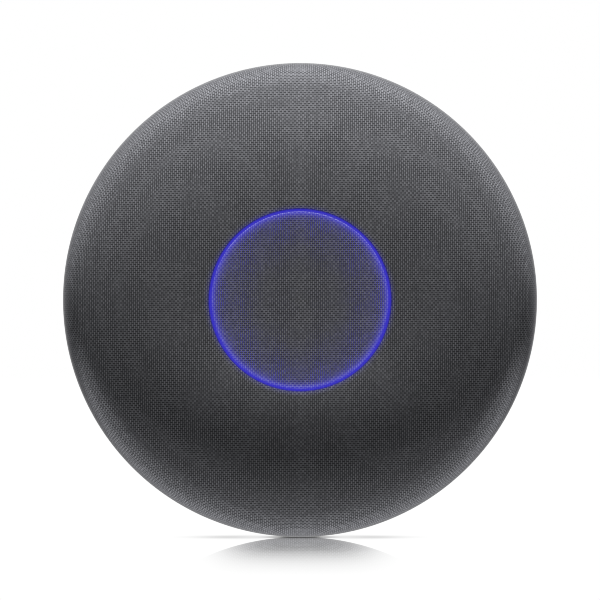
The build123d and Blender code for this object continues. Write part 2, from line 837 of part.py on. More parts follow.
with BuildPart() as base_housing:
    # The turned outline: recess for the bracket, flat back, bevel, seam and the tongue inside the skirt.
    with BuildSketch(Plane.XY) as base_section:
        with BuildLine():
            Polyline(
                (0, -recess_floor),
                (recess_radius, -recess_floor),
                (recess_radius, -back_height),
                (back_face_radius, -back_height),
                (housing_radius, -bevel_end_height),
                (housing_radius, -bead_groove_height),
                (bead_groove_radius, -bead_groove_height),
                (bead_groove_radius, -seam_height),
                (tongue_outer, -seam_height),
                (tongue_outer, -tongue_top),
                (tongue_inner, -tongue_top),
                (tongue_inner, -inner_bevel_height(tongue_inner)),
                (base_floor_radius, -base_floor_inside),
                (recess_radius + recess_wall, -base_floor_inside),
                (recess_radius + recess_wall, -recess_inside),
                (0, -recess_inside),
                close=True,
            )
        make_face()
        round_corner(base_section, recess_radius, back_height, edge_round)
        round_corner(base_section, back_face_radius, back_height, back_round)
    revolve(axis=Axis.Y)

    # Blocks that hold the cable well, the jack, the relief for the latch and the tool slot.
    with BuildSketch(front_plane(recess_inside)):
        rectangle_between(
            -well_half_width - well_wall,
            well_half_width + well_wall,
            well_low - well_wall,
            well_high + well_wall,
            corner=well_corner + well_wall,
        )
    extrude(amount=well_floor + well_wall - recess_inside)
    with BuildSketch(front_plane(island_back)):
        rectangle_between(-island_half_width, island_half_width, island_low, well_low)
    extrude(amount=recess_inside - island_back)
    with BuildSketch(front_plane(base_floor_inside)):
        arc_patch(recess_radius + relief_skin, relief_block_radius, relief_block_first, relief_block_size)
    extrude(amount=recess_inside - base_floor_inside)
    with BuildSketch(Plane.YZ):
        with BuildLine():
            Polyline(
                (-slot_lining_back, -recess_radius - relief_skin),
                (-slot_lining_back, -back_face_radius),
                (-slot_lining_back - (slot_end - back_face_radius) * bevel_slope, -slot_end),
                (-slot_lining_front, -slot_end),
                (-slot_lining_front, -recess_radius - relief_skin),
                close=True,
            )
        make_face()
    extrude(amount=slot_half_width + slot_wall, both=True)

    # Bosses for the case screws, and stepped posts that carry the heat spreader and the board.
    with BuildSketch(front_plane((back_height + base_floor_inside) / 2)):
        with ring_of(case_screw_circle, case_screw_first, case_screw_count):
            Circle(base_boss_radius)
    extrude(amount=boss_meet - (back_height + base_floor_inside) / 2)
    with BuildSketch(front_plane((recess_floor + recess_inside) / 2)):
        with ring_of(board_screw_circle, board_screw_first, board_screw_count):
            Circle(post_radius)
    extrude(amount=spreader_back - (recess_floor + recess_inside) / 2)
    with BuildSketch(front_plane(spreader_back)):
        with ring_of(board_screw_circle, board_screw_first, board_screw_count):
            Circle(post_neck)
    extrude(amount=board_back - spreader_back)

    # Bayonet tabs on the wall of the recess.
    with BuildSketch(front_plane(tab_back)):
        for index in range(tab_count):
            tab_start = tab_first + index * 360 / tab_count - tab_width / 2
            arc_patch(tab_inner, recess_radius + relief_skin, tab_start, tab_width)
    extrude(amount=tab_front - tab_back)

    # Cable well, room for the jack behind its island, and the pinhole into the reset switch.
    with BuildSketch(front_plane(recess_floor)):
        rectangle_between(-well_half_width, well_half_width, well_low, well_high, corner=well_corner)
    extrude(amount=well_floor - recess_floor, mode=Mode.SUBTRACT)
    with BuildSketch(front_plane(island_back + island_wall)):
        rectangle_between(
            island_wall - island_half_width,
            island_half_width - island_wall,
            island_low + island_wall,
            well_low,
        )
    extrude(amount=board_back - island_back, mode=Mode.SUBTRACT)
    with BuildSketch(Plane.XY.offset(well_low)):
        with Locations((reset_x, -reset_height)):
            Circle(pinhole_radius)
    extrude(amount=-well_wall, mode=Mode.SUBTRACT)

    # Relief that the latch's tooth runs in, on both sides of the catch, and the slot for a release tool.
    with BuildSketch(front_plane(back_height)):
        arc_patch(recess_radius - relief_skin, relief_radius, relief_first, catch_first - relief_first)
        arc_patch(recess_radius - relief_skin, relief_radius, catch_last, relief_last - catch_last)
    extrude(amount=relief_front - back_height, mode=Mode.SUBTRACT)
    with BuildSketch(front_plane(0)):
        rectangle_between(
            -slot_half_width, slot_half_width, -skin_radius, relief_skin / 2 - relief_radius
        )
    extrude(amount=slot_front, mode=Mode.SUBTRACT)

    # Screw holes: counterbored through holes in the bosses, pilot holes in the posts.
    with BuildSketch(front_plane(0)):
        with ring_of(case_screw_circle, case_screw_first, case_screw_count):
            Circle(case_screw_head + running_gap)
    extrude(amount=counterbore_floor, mode=Mode.SUBTRACT)
    with BuildSketch(front_plane(0)):
        with ring_of(case_screw_circle, case_screw_first, case_screw_count):
            Circle(case_screw_shank + running_gap)
    extrude(amount=boss_meet, mode=Mode.SUBTRACT)
    with BuildSketch(front_plane(board_back)):
        with ring_of(board_screw_circle, board_screw_first, board_screw_count):
            Circle(small_shank + pilot_gap)
    extrude(amount=-board_pilot_depth, mode=Mode.SUBTRACT)

with BuildPart() as case_screws:
    with BuildSketch(front_plane(counterbore_floor - case_head_height)):
        with ring_of(case_screw_circle, case_screw_first, case_screw_count):
            Circle(case_screw_head)
            RegularPolygon(case_socket, 6, mode=Mode.SUBTRACT)
    extrude(amount=case_socket_depth)
    with BuildSketch(front_plane(counterbore_floor - case_head_height + case_socket_depth)):
        with ring_of(case_screw_circle, case_screw_first, case_screw_count):
            Circle(case_screw_head)
    extrude(amount=case_head_height - case_socket_depth)
    with BuildSketch(front_plane(counterbore_floor)):
        with ring_of(case_screw_circle, case_screw_first, case_screw_count):
            Circle(case_screw_shank)
    extrude(amount=boss_meet + case_pilot_depth - pilot_gap - counterbore_floor)

# Plain sticker in the recess, left blank.
with BuildPart() as blank_label:
    with BuildSketch(front_plane(recess_floor - label_thickness)):
        rectangle_between(*label_sides, corner=label_corner)
    extrude(amount=label_thickness)

# ---------------------------------------------------------------- bracket on the wall

with BuildPart() as mounting_bracket:
    with BuildSketch(Plane.XY) as bracket_section:
        ring_section(ring_inner, hub_outer, 0, ring_thickness)
        ring_section(hub_inner, hub_outer, 0, flange_front)
        ring_section(hub_inner, flange_radius, flange_back, flange_front)
        round_corner(bracket_section, flange_radius, flange_front, edge_round)
        round_corner(bracket_section, hub_inner, flange_front, edge_round)
    revolve(axis=Axis.Y)

    # Stops at both ends of each tab's travel.
    with BuildSketch(front_plane(tab_back - stop_margin)):
        for index in range(tab_count):
            tab_start = tab_first + index * 360 / tab_count - tab_width / 2
            for stop_start in (
                tab_start - stop_margin - stop_width,
                tab_start + tab_width + twist + stop_margin,
            ):
                arc_patch(hub_outer - edge_round, stop_radius, stop_start, stop_width)
    extrude(amount=flange_back - tab_back + stop_margin)

    # Notches that let the tabs through, and the window for the latch.
    with BuildSketch(front_plane(flange_back)):
        for index in range(tab_count):
            notch_start = tab_first + index * 360 / tab_count + twist - notch_width / 2
            arc_patch(hub_outer, flange_radius + cut_past, notch_start, notch_width)
    extrude(amount=flange_front - flange_back, mode=Mode.SUBTRACT)
    with BuildSketch(front_plane(ring_thickness)):
        arc_patch(hub_inner - cut_past, flange_radius + cut_past, window_first, window_size)
    extrude(amount=flange_front - ring_thickness, mode=Mode.SUBTRACT)

    # Countersunk holes for the wall screws, and the bore that holds the latch's pin.
    with Locations(front_plane(ring_thickness)):
        with ring_of(wall_screw_circle, wall_screw_first, wall_screw_count):
            CounterSinkHole(wall_screw_radius, wall_screw_head, depth=ring_thickness)
    with BuildSketch(front_plane(0)):
        with Locations((pivot_x, pivot_z)):
            Circle(pivot_radius)
    extrude(amount=ring_thickness, mode=Mode.SUBTRACT)

# Headed pin that the latch turns on.
with BuildPart() as latch_pin:
    with BuildSketch(front_plane(pin_back)):
        with Locations((pivot_x, pivot_z)):
            Circle(pivot_radius)
    extrude(amount=lever_front + latch_gap - pin_back)
    with BuildSketch(front_plane(lever_front + latch_gap)):
        with Locations((pivot_x, pivot_z)):
            Circle(pin_head_radius)
    extrude(amount=pin_head_height)
    fillet(latch_pin.faces().sort_by(Axis.Y)[0].edges(), pin_head_height / 2)

# Latch: an eye on the pin, a curved arm over the ring, and a tooth through the window.
with BuildPart() as lock_lever:
    with BuildSketch(front_plane(lever_back)):
        with Locations((pivot_x, pivot_z)):
            Circle(eye_radius)
        lever_inner = pivot_circle - lever_width / 2
        arc_patch(lever_inner, lever_inner + lever_width, pivot_angle, latch_angle - pivot_angle)
        rectangle_between(-tooth_neck_half_width, tooth_neck_half_width, -tooth_neck, -lever_inner)
        rectangle_between(-tooth_half_width, tooth_half_width, -tooth_tip, -pivot_circle)
        with Locations((pivot_x, pivot_z)):
            Circle(pivot_radius + pivot_fit, mode=Mode.SUBTRACT)
    extrude(amount=lever_front - lever_back)

# ---------------------------------------------------------------- one STEP file for each piece

pieces = {
    "fabric_layer": fabric_layer,
    "skin_shell": skin_shell,
    "skin_light_window": skin_light_window,
    "skin_centre_plate": skin_centre_plate,
    "front_housing": front_housing,
    "light_guide_ring": light_guide_ring,
    "centre_disc": centre_disc,
    "reflector_ring": reflector_ring,
    "led_board": led_board,
    "status_leds": status_leds,
    "led_board_screws": led_board_screws,
    "led_ribbon": led_ribbon,
    "ribbon_sockets": ribbon_sockets,
    "main_board": main_board,
    "board_screws": board_screws,
    "heat_spreader": heat_spreader,
    "thermal_pads": thermal_pads,
    "board_chips": board_chips,
    "shield_fences": shield_fences,
    "shield_lids": shield_lids,
    "ethernet_transformer": ethernet_transformer,
    "poe_transformer": poe_transformer,
    "capacitors": capacitors,
    "crystals": crystals,
    "aerials_5ghz": aerials_5ghz,
    "aerials_2ghz": aerials_2ghz,
    "rj45_shell": rj45_shell,
    "rj45_insert": rj45_insert,
    "rj45_contacts": rj45_contacts,
    "reset_switch": reset_switch,
    "reset_plunger": reset_plunger,
    "base_housing": base_housing,
    "case_screws": case_screws,
    "blank_label": blank_label,
    "mounting_bracket": mounting_bracket,
    "latch_pin": latch_pin,
    "lock_lever": lock_lever,
}
for name, piece in pieces.items():
    piece.part.label = name
    export_step(piece.part, f"parts/{name}.step")
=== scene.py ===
"""Looks for a round wireless access point whose front is covered in woven cloth.

The unit faces -Y with +Z up, and its disc's axis is the Y axis, so a point's distance from the wall
is -Y. Sizes are in metres. The woven cover is built here as one turned, closed sheet; every other
piece keeps its CAD shape and gets a procedural material.
"""

import json
from math import asin, cos, pi, radians, sin, sqrt

import bpy
import numpy as np
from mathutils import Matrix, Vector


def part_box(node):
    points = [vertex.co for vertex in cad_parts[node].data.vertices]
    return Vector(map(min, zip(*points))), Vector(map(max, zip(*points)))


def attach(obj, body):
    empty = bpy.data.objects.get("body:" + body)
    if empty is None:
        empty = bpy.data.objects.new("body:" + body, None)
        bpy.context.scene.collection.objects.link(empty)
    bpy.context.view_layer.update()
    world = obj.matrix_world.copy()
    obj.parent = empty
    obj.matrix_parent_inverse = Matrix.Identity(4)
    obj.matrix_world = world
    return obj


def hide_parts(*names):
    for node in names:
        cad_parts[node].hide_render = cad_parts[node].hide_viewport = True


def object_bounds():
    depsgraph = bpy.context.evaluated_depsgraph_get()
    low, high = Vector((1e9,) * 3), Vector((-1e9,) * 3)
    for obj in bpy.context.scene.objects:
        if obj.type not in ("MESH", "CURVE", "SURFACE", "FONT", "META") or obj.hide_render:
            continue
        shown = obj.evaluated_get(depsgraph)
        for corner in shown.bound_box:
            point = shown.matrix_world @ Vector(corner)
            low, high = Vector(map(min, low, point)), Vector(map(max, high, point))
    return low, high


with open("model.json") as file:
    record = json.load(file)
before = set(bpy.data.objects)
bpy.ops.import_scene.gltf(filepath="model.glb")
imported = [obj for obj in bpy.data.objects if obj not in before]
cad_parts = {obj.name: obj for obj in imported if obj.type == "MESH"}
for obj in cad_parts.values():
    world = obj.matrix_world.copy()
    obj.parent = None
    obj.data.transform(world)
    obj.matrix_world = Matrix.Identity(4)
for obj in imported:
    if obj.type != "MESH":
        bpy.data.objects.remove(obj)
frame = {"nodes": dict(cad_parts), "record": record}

cad_low, cad_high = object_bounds()

MM = 0.001

# ---------------------------------------------------------------- sizes of the cloth's front

FABRIC = 0.4 * MM
SKIN_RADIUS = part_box("fabric_layer")[1].x
EDGE_HEIGHT = -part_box("fabric_layer")[1].y
LIP_HEIGHT = -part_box("fabric_layer")[0].y
CROWN_ARC = 200.0 * MM
SHOULDER_ARC = 130.0 * MM
RIM_ARC = 14.0 * MM
CROWN_END_SLOPE = 0.25  # sine of the dome's tilt where the crown meets the shoulder
GROOVE_RADIUS = 31.3 * MM
GROOVE_WIDTH = 0.3 * MM
GROOVE_DEPTH = 0.9 * MM
DISC_HEIGHT = LIP_HEIGHT - 0.3 * MM
TURNED_HEM = 1.2 * MM
THREAD_PITCH = 0.7034 * MM

# The crown, shoulder and rim arcs are tangent; these are the centres of their circles.
CROWN_CENTRE = LIP_HEIGHT - sqrt(CROWN_ARC**2 - GROOVE_RADIUS**2)
SHOULDER_CENTRE_RADIUS = (CROWN_ARC - SHOULDER_ARC) * CROWN_END_SLOPE
SHOULDER_CENTRE = CROWN_CENTRE + (CROWN_ARC - SHOULDER_ARC) * sqrt(1 - CROWN_END_SLOPE**2)
SHOULDER_END_SLOPE = (SKIN_RADIUS - RIM_ARC - SHOULDER_CENTRE_RADIUS) / (SHOULDER_ARC - RIM_ARC)
RIM_CENTRE_RADIUS = SKIN_RADIUS - RIM_ARC
RIM_CENTRE = SHOULDER_CENTRE + (SHOULDER_ARC - RIM_ARC) * sqrt(1 - SHOULDER_END_SLOPE**2)

# ---------------------------------------------------------------- camera

VIEW_WIDTH = 206.3 * MM  # what the camera takes in, at the widest part of the disc
CAMERA_DISTANCE = 4.0
SENSOR = 36.0  # in millimetres, as the lens is

camera_data = bpy.data.cameras.new("camera")
camera = bpy.data.objects.new("camera", camera_data)
bpy.context.scene.collection.objects.link(camera)
bpy.context.scene.camera = camera
camera.location = (0, -RIM_CENTRE - CAMERA_DISTANCE, 0)
camera.rotation_euler = (pi / 2, 0, 0)
camera_data.sensor_width = SENSOR
camera_data.lens = SENSOR * CAMERA_DISTANCE / VIEW_WIDTH
camera_data.clip_start = 0.1
camera_data.clip_end = 40.0

bpy.context.scene.view_settings.view_transform = "Standard"
bpy.context.scene.view_settings.look = "None"
bpy.context.scene.cycles.filter_width = 0.95

# ---------------------------------------------------------------- node graphs


class Graph:
    """A node tree that is written as nested calls: every method returns an output socket."""

    def __init__(self, owner):
        owner.use_nodes = True
        self.tree = owner.node_tree
        self.tree.nodes.clear()

    def node(self, kind, inputs=None, **settings):
        """Adds a node with its settings and inputs, where a socket is linked and a value is set."""
        made = self.tree.nodes.new(kind)
        for name, value in settings.items():
            setattr(made, name, value)
        for name, value in (inputs or {}).items():
            if isinstance(value, bpy.types.NodeSocket):
                self.tree.links.new(value, made.inputs[name])
            else:
                made.inputs[name].default_value = value
        return made

    def math(self, operation, *values):
        return self.node("ShaderNodeMath", dict(enumerate(values)), operation=operation).outputs[0]

    def vector(self, operation, *values):
        made = self.node("ShaderNodeVectorMath", dict(enumerate(values)), operation=operation)
        return made.outputs["Value" if operation == "LENGTH" else "Vector"]

    def ramp(self, value, low, high, to_low=0.0, to_high=1.0, smooth=False):
        """Maps value from low..high to to_low..to_high and holds it at both ends."""
        inputs = {"Value": value, "From Min": low, "From Max": high, "To Min": to_low, "To Max": to_high}
        kind = "SMOOTHSTEP" if smooth else "LINEAR"
        return self.node("ShaderNodeMapRange", inputs, interpolation_type=kind).outputs[0]

    def bell(self, value, centre, width, power=2.0):
        """A hump of height 1 at centre, fallen to 0.37 at width from it, and flatter with more power."""
        offset = self.math("MULTIPLY", self.math("SUBTRACT", value, centre), 1.0 / width)
        fall = self.math("POWER", self.math("ABSOLUTE", offset), power)
        return self.math("EXPONENT", self.math("MULTIPLY", fall, -1.0))

    def mix(self, factor, first, second, blend="MIX"):
        """Mixes two colours."""
        inputs = {0: factor, 6: first, 7: second}
        return self.node("ShaderNodeMix", inputs, data_type="RGBA", blend_type=blend).outputs[2]

    def curve(self, value, points):
        """A smooth grey curve through (place, level) points, both between 0 and 1."""
        made = self.node("ShaderNodeFloatCurve", {"Value": value})
        line = made.mapping.curves[0]
        while len(line.points) < len(points):
            line.points.new(0.5, 0.5)
        for point, place in zip(line.points, points):
            point.location = place
        made.mapping.update()
        return made.outputs[0]

    def object_place(self):
        return self.node("ShaderNodeTexCoord").outputs["Object"]

    def noise(self, place, size, detail=2.0, roughness=0.5):
        """Grey noise whose features are about size across, in metres."""
        inputs = {"Vector": place, "Scale": 1.0 / size, "Detail": detail, "Roughness": roughness}
        return self.node("ShaderNodeTexNoise", inputs).outputs[0]

    def cells(self, place, size):
        """Distance to the nearest random cell centre, for cells about size across."""
        return self.node("ShaderNodeTexVoronoi", {"Vector": place, "Scale": 1.0 / size}).outputs["Distance"]

    def bump(self, height, distance, strength, normal=None):
        """A normal tilted by height, over another normal if one is given."""
        inputs = {"Height": height, "Distance": distance, "Strength": strength}
        if normal is not None:
            inputs["Normal"] = normal
        return self.node("ShaderNodeBump", inputs).outputs[0]

    def surface(self, **inputs):
        """Ends a material in one Principled shader; underscores in names stand for spaces."""
        named = {name.replace("_", " "): value for name, value in inputs.items()}
        shader = self.node("ShaderNodeBsdfPrincipled", named)
        self.node("ShaderNodeOutputMaterial", {"Surface": shader.outputs[0]})


def colour(red, green, blue):
    return (red, green, blue, 1.0)


def new_material(name):
    """An empty node material and its graph."""
    made = bpy.data.materials.new(name)
    return made, Graph(made)


# ---------------------------------------------------------------- woven cloth

WARP_TINT = (0.114, 0.115, 0.1235)
WEFT_TINT = (0.035, 0.0355, 0.0385)
GAP_TINT = (0.033, 0.0333, 0.036)
EDGE_TINT = (0.58, 0.58, 0.59)  # how threads reflect at a low angle

# Widths of threads as parts of the pitch, between crossings and at them.
WARP_WIDTH, WARP_PINCHED = 0.91, 0.55
WEFT_WIDTH, WEFT_PINCHED = 0.50, 0.50

THREAD_WANDER = 0.35  # how far a thread strays from one side to the other, as part of the pitch
WANDER_SCALE = 90.0  # about how many times it strays in a metre
THREAD_SHARE = 0.2  # weight of a whole thread's own level beside the level of one crossing

# Painted glow: the cloth's blue ring and the glow inside it are emission painted on the cloth, not light from
# the LED pieces.
BLUE = (0.038, 0.030, 0.54)
LIT_RADIUS = 30.8 * MM  # the ring is at its brightest here
# Painted glow: share of the ring's blue painted on the cloth as emission at a radius, in place of light
# coming through the cloth.
PAINTED_GLOW = (
    (3.0 * MM, 0.006),
    (10.0 * MM, 0.011),
    (14.4 * MM, 0.024),
    (17.2 * MM, 0.049),
    (20.6 * MM, 0.092),
    (24.8 * MM, 0.155),
    (27.2 * MM, 0.25),
    (28.6 * MM, 0.40),
    (29.3 * MM, 0.60),
    (30.0 * MM, 0.88),
)


def woven_cloth():
    """Plain weave: light upright threads over darker cross threads, with painted shade where they dip and a
    painted blue glow in the gaps.

    The mesh's weave attribute holds how far a point is along the cloth from the disc's centre, as a
    vector, so the threads keep their pitch over the dome. A thread rises and falls as a cosine along
    its length and is round across its width, and the higher of the two threads is the one that shows.
    """
    material, g = new_material("woven_cloth")
    along = g.node("ShaderNodeAttribute", attribute_name="weave").outputs["Vector"]
    noise = g.node("ShaderNodeTexNoise", {"Vector": along, "Scale": WANDER_SCALE, "Detail": 1.0})
    shift = g.vector("SUBTRACT", noise.outputs["Color"], (0.5, 0.5, 0.5))
    scaled = g.vector("SCALE", along)
    scaled.node.inputs["Scale"].default_value = 1.0 / THREAD_PITCH
    bent = g.vector("MULTIPLY_ADD", shift, (THREAD_WANDER, THREAD_WANDER, 0.0), scaled)
    axes = g.node("ShaderNodeSeparateXYZ", {0: bent})
    across, up = axes.outputs[0], axes.outputs[1]
    warp, weft = g.math("FLOOR", across), g.math("FLOOR", up)
    in_warp = g.math("SUBTRACT", g.math("SUBTRACT", across, warp), 0.5)
    in_weft = g.math("SUBTRACT", g.math("SUBTRACT", up, weft), 0.5)
    odd = g.math("FLOORED_MODULO", g.math("ADD", warp, weft), 2.0)
    side = g.math("SUBTRACT", 1.0, g.math("MULTIPLY", odd, 2.0))

    def thread(across_it, along_it, sign, width, pinched):
        """Height of a thread's top at this place, from -1 to 1, and -1 where there is no thread."""
        rise = g.math("COSINE", g.math("MULTIPLY", along_it, pi))
        wave = g.math("MULTIPLY", rise, sign)
        breadth = g.math("MULTIPLY_ADD", rise, pinched - width, width)
        flat = g.math("DIVIDE", g.math("MULTIPLY", across_it, 2.0), breadth)
        square = g.math("MULTIPLY", flat, flat)
        round_top = g.math("SQRT", g.math("MAXIMUM", g.math("SUBTRACT", 1.0, square), 0.0))
        covers = g.math("LESS_THAN", square, 1.0)
        height = g.math("ADD", g.math("MULTIPLY", wave, 0.5), g.math("MULTIPLY", round_top, 0.5))
        return g.math("MULTIPLY_ADD", g.math("ADD", height, 1.0), covers, -1.0)

    other_side = g.math("MULTIPLY", side, -1.0)
    warp_height = thread(in_warp, in_weft, side, WARP_WIDTH, WARP_PINCHED)
    weft_height = thread(in_weft, in_warp, other_side, WEFT_WIDTH, WEFT_PINCHED)
    height = g.math("MAXIMUM", warp_height, weft_height)
    on_warp = g.math("GREATER_THAN", warp_height, weft_height)
    gap = g.ramp(height, -0.35, 0.15, 1.0, 0.0)

    cell = g.node("ShaderNodeCombineXYZ", {0: warp, 1: weft, 2: on_warp}).outputs[0]
    at_crossing = g.node("ShaderNodeTexWhiteNoise", {"Vector": cell}, noise_dimensions="3D")
    crossing = at_crossing.outputs["Value"]

    def thread_colour(tint, number, seed, painted_shade):
        """A thread's colour, uneven from thread to thread and from crossing to crossing, times the painted
        shade given.
        """
        place = g.math("ADD", number, seed)
        own = g.node("ShaderNodeTexWhiteNoise", {"W": place}, noise_dimensions="1D").outputs["Value"]
        both = g.math("MULTIPLY_ADD", own, THREAD_SHARE, crossing)
        level = g.ramp(both, 0.0, 1.0 + THREAD_SHARE, 0.74, 1.26)
        return g.mix(1.0, colour(*tint), g.math("MULTIPLY", painted_shade, level), "MULTIPLY")

    # Painted shade: each thread is darker where it dips low, under the other thread.
    warp_colour = thread_colour(WARP_TINT, warp, 0.5, g.ramp(warp_height, -0.1, 0.35, 0.7, 1.0))
    weft_colour = thread_colour(WEFT_TINT, weft, 77.5, g.ramp(weft_height, -0.5, 0.6, 0.8, 1.05))
    threads = g.mix(on_warp, weft_colour, warp_colour)
    open_cloth = g.mix(gap, threads, colour(*GAP_TINT))
    uneven = g.ramp(g.noise(along, 2.6 * MM, 3.0), 0.25, 0.75, 0.97, 1.03)
    fibres = g.noise(along, 0.09 * MM, 2.0, 0.7)
    grain = g.math("MULTIPLY", uneven, g.ramp(fibres, 0.2, 0.8, 0.88, 1.12))
    cloth = g.mix(1.0, open_cloth, grain, "MULTIPLY")

    # The ring's painted glow, emission on the cloth by radius: inside it as the table says, at it nearly
    # even, outside it a short spill.
    distance = g.vector("LENGTH", along)
    levels = [(radius / LIT_RADIUS, level) for radius, level in PAINTED_GLOW]
    inside = g.curve(g.ramp(distance, 0.0, LIT_RADIUS), [(0.0, 0.0), *levels, (1.0, 1.0)])
    spread = g.math("MULTIPLY", g.bell(distance, LIT_RADIUS, 1.2 * MM), 0.2)
    outside = g.math("MAXIMUM", g.bell(distance, LIT_RADIUS, 0.42 * MM), spread)
    level = g.mix(g.math("GREATER_THAN", distance, LIT_RADIUS), inside, outside)
    # Painted glow in the gaps between threads, brighter at some crossings.
    painted_glow_specks = g.math("MULTIPLY", gap, g.ramp(crossing, 0.0, 1.0, 0.2, 1.8))
    between_threads = g.math("MULTIPLY_ADD", painted_glow_specks, 3.0, 0.3)
    everywhere = g.ramp(gap, 0.0, 1.0, 0.94, 1.04)
    through = g.mix(g.ramp(distance, 27.0 * MM, 29.2 * MM), between_threads, everywhere)
    strength = g.math("MULTIPLY", level, through)

    # Painted shade: the cloth is darker at the bottom of the groove, where the lip shades it.
    painted_groove_shade = g.ramp(distance, 30.5 * MM, 31.0 * MM, 1.0, 0.5)
    painted_groove_shade = g.math("MAXIMUM", painted_groove_shade, g.ramp(distance, 30.9 * MM, 31.3 * MM, 0.0, 1.0))
    cloth = g.mix(1.0, cloth, painted_groove_shade, "MULTIPLY")
    lift = g.bump(height, 0.02 * MM, 0.05)
    g.surface(
        Base_Color=cloth,
        Metallic=0.9,
        Roughness=0.28,
        Specular_Tint=colour(*EDGE_TINT),
        Normal=g.bump(fibres, 0.002 * MM, 0.5, lift),
        Emission_Color=colour(*BLUE),
        Emission_Strength=strength,
    )
    return material


# ---------------------------------------------------------------- moulded plastics


def moulded(name, base, roughness, grain=0.25 * MM, depth=0.010 * MM, mottle=0.05):
    """Spark-eroded plastic: fine grain in the surface, faint cloudiness in its colour and gloss."""
    material, g = new_material(name)
    place = g.object_place()
    cloud = g.noise(place, 14.0 * MM, 3.0)
    fine = g.noise(place, grain, 2.0, 0.6)
    pits = g.cells(place, grain * 1.6)
    cloudy = g.ramp(cloud, 0.3, 0.7, 1.0 - mottle, 1.0 + mottle)
    level = g.math("MULTIPLY", cloudy, g.ramp(fine, 0.2, 0.8, 0.97, 1.03))
    gloss = g.ramp(cloud, 0.3, 0.7, roughness - 0.04, roughness + 0.04)
    g.surface(
        Base_Color=g.mix(1.0, colour(*base), level, "MULTIPLY"),
        Roughness=g.math("ADD", gloss, g.ramp(fine, 0.2, 0.8, -0.03, 0.03)),
        Normal=g.bump(g.math("ADD", fine, pits), depth, 0.6),
    )
    return material


def lit_plastic(name, base, level):
    """Frosted translucent plastic that glows blue, a little unevenly."""
    material, g = new_material(name)
    place = g.object_place()
    cloud = g.noise(place, 5.0 * MM, 2.0)
    fine = g.noise(place, 0.2 * MM, 2.0)
    g.surface(
        Base_Color=g.mix(1.0, colour(*base), g.ramp(fine, 0.2, 0.8, 0.95, 1.05), "MULTIPLY"),
        Roughness=g.ramp(fine, 0.2, 0.8, 0.32, 0.42),
        Normal=g.bump(fine, 0.006 * MM, 0.5),
        Emission_Color=colour(*BLUE),
        Emission_Strength=g.ramp(cloud, 0.3, 0.7, 0.9 * level, 1.1 * level),
    )
    return material


def metal(name, base, roughness, stretch=(1.0, 1.0, 1.0), grain=0.3 * MM):
    """Metal with fine drawn or rolled lines along the axis that is stretched most."""
    material, g = new_material(name)
    place = g.vector("MULTIPLY", g.object_place(), stretch)
    lines = g.noise(place, grain, 4.0, 0.65)
    cloud = g.noise(g.object_place(), 4.0 * MM, 3.0)
    gloss = g.ramp(lines, 0.2, 0.8, roughness - 0.08, roughness + 0.10)
    g.surface(
        Base_Color=g.mix(1.0, colour(*base), g.ramp(cloud, 0.3, 0.7, 0.9, 1.05), "MULTIPLY"),
        Metallic=1.0,
        Roughness=g.math("ADD", gloss, g.ramp(cloud, 0.3, 0.7, -0.03, 0.05)),
        Normal=g.bump(lines, 0.006 * MM, 0.5),
    )
    return material


def circuit_board():
    """Solder mask with tracks under it: routed lines as stepped noise, and vias as small gold dots."""
    material, g = new_material("circuit_board")
    place = g.object_place()
    scale = 1.0 / (3.2 * MM)
    routes = g.node("ShaderNodeTexVoronoi", {"Vector": place, "Scale": scale}, distance="MANHATTAN")
    line = g.math("LESS_THAN", g.math("FLOORED_MODULO", routes.outputs["Distance"], 0.12), 0.05)
    dots = g.math("LESS_THAN", g.cells(place, 2.1 * MM), 0.12)
    mask = g.mix(line, colour(0.010, 0.052, 0.036), colour(0.016, 0.085, 0.055))
    g.surface(
        Base_Color=g.mix(dots, mask, colour(0.42, 0.30, 0.12)),
        Metallic=g.math("MULTIPLY", dots, 0.9),
        Roughness=g.ramp(g.noise(place, 1.0 * MM), 0.3, 0.7, 0.30, 0.42),
        Normal=g.bump(line, 0.03 * MM, 0.5),
    )
    return material


def ribbon_film():
    """Clear film over parallel tinned conductors."""
    material, g = new_material("ribbon_film")
    axes = g.node("ShaderNodeSeparateXYZ", {0: g.object_place()})
    phase = g.math("FRACT", g.math("MULTIPLY", axes.outputs[0], 1.0 / (0.5 * MM)))
    wire = g.math("LESS_THAN", g.math("ABSOLUTE", g.math("SUBTRACT", phase, 0.5)), 0.3)
    g.surface(
        Base_Color=g.mix(wire, colour(0.75, 0.77, 0.80), colour(0.55, 0.53, 0.48)),
        Roughness=g.ramp(g.noise(g.object_place(), 1.0 * MM), 0.3, 0.7, 0.25, 0.35),
        Normal=g.bump(wire, 0.03 * MM, 0.6),
    )
    return material


def paper_label():
    """Matt film with a faint fibre grain and a slightly uneven grey."""
    material, g = new_material("blank_label_film")
    place = g.object_place()
    fibre = g.noise(g.vector("MULTIPLY", place, (1.0, 1.0, 0.3)), 0.3 * MM, 4.0, 0.7)
    cloud = g.ramp(g.noise(place, 9.0 * MM), 0.35, 0.7)
    g.surface(
        Base_Color=g.mix(cloud, colour(0.70, 0.71, 0.72), colour(0.64, 0.65, 0.66)),
        Roughness=g.ramp(fibre, 0.2, 0.8, 0.5, 0.65),
        Normal=g.bump(fibre, 0.01 * MM, 0.6),
    )
    return material


# ---------------------------------------------------------------- the cloth cover's mesh


def arc_points(centre_radius, centre_height, arc, start, end, step=0.05 * MM):
    """Points of an arc of the dome, between two tilts from the disc's axis."""
    count = max(2, int(abs(end - start) * arc / step))
    tilts = np.linspace(start, end, count)
    return np.column_stack([centre_radius + arc * np.sin(tilts), centre_height + arc * np.cos(tilts)])


